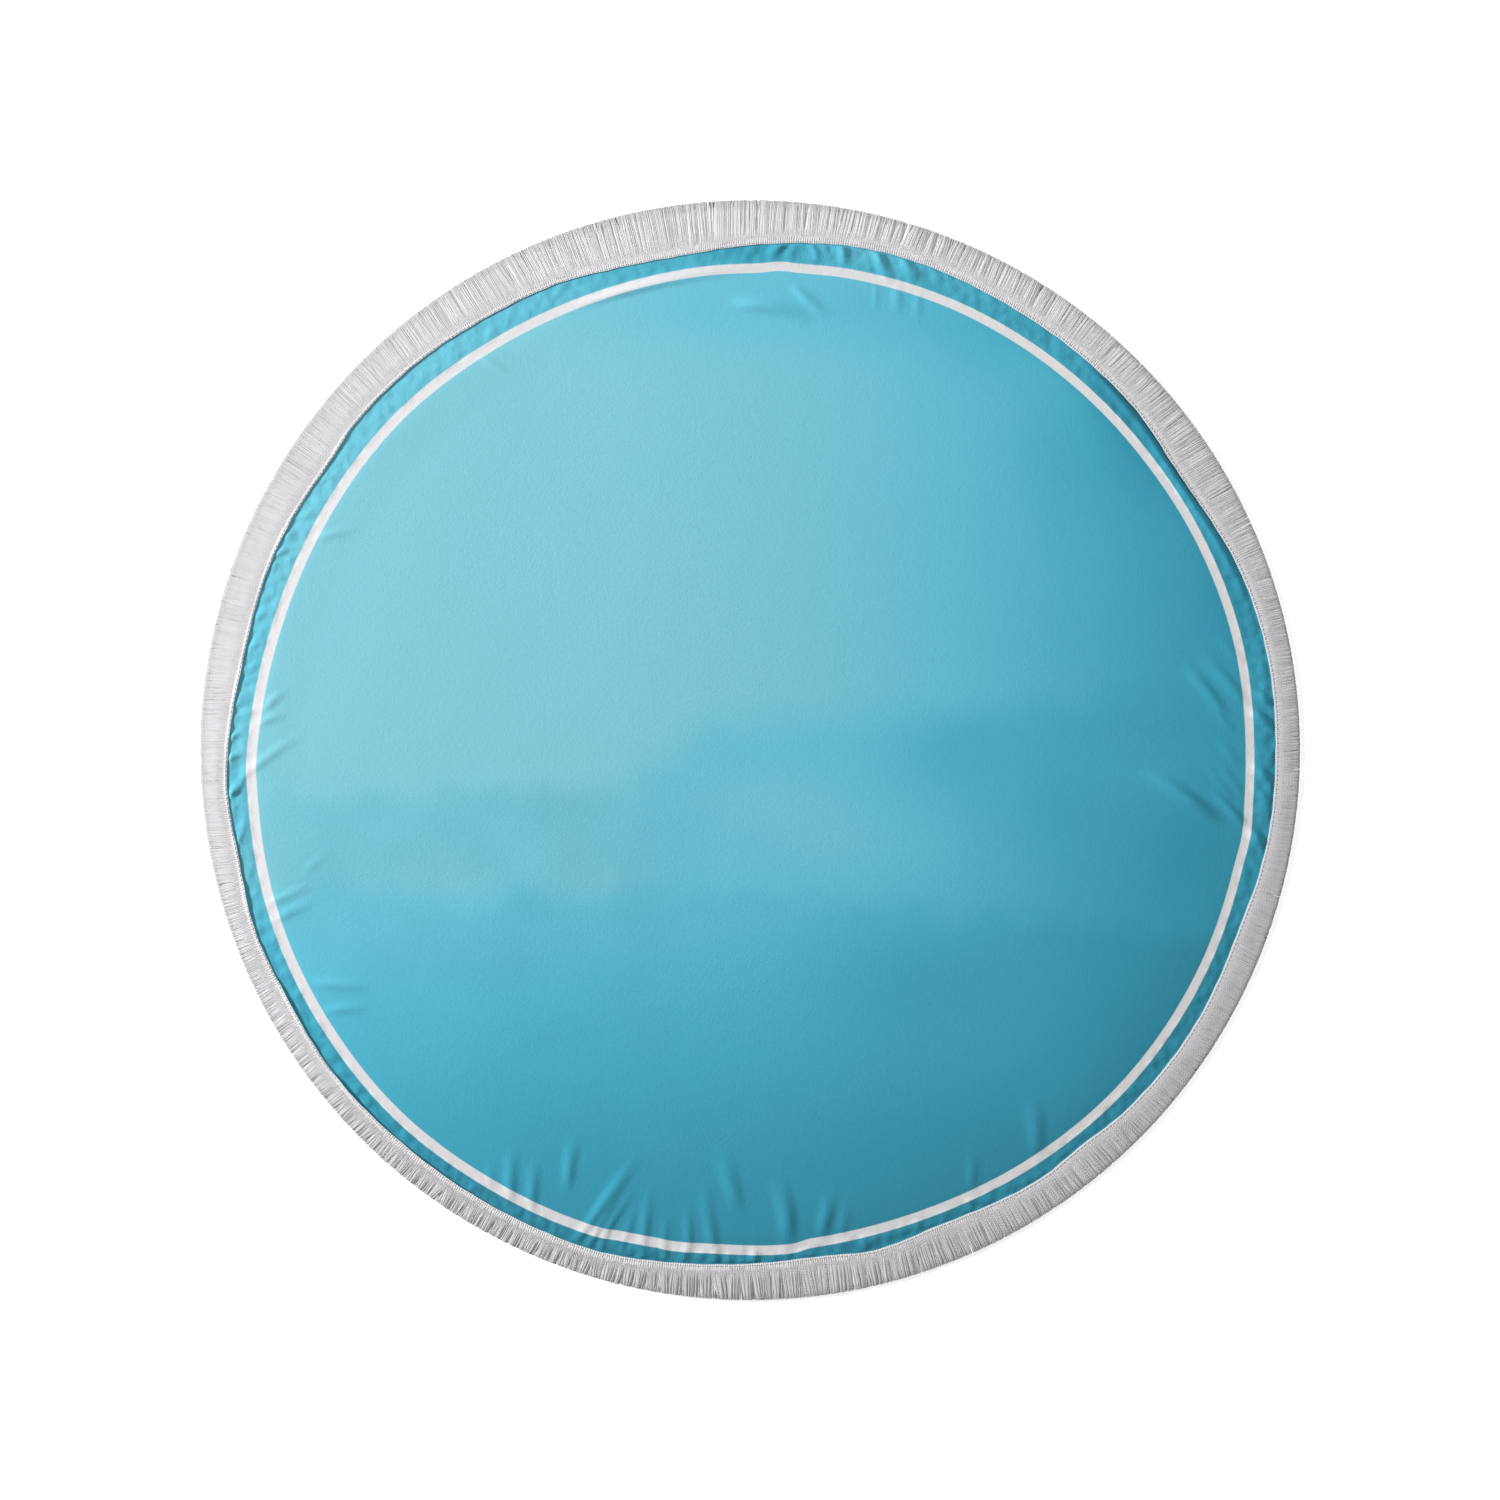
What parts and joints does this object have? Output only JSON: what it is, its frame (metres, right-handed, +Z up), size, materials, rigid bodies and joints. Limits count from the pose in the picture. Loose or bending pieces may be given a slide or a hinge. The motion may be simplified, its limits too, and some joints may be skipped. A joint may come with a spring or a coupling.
{
  "type": "round beach towel",
  "caption": "Round beach towel lying spread out: thin cloth with a narrow printed ring, a gathered rim and a cotton fringe all the way round.",
  "frame": {"origin": "centre of the towel on its underside, where it lies on the surface", "axes": "+Z up out of the towel's face; +Y towards the picture's top and +X towards its right, seen from above"},
  "size_m": [1.4988, 1.4997, 0.0061],
  "materials": {
    "turquoise_cloth": "fine soft short-pile towelling with a narrow white printed ring near its rim",
    "fringe_cotton": "matte off-white cotton: a woven heading tape with loose cut threads"
  },
  "bodies": {
    "root": {"towel_panel": "turquoise_cloth", "fringe": "fringe_cotton"}
  },
  "joints": []
}
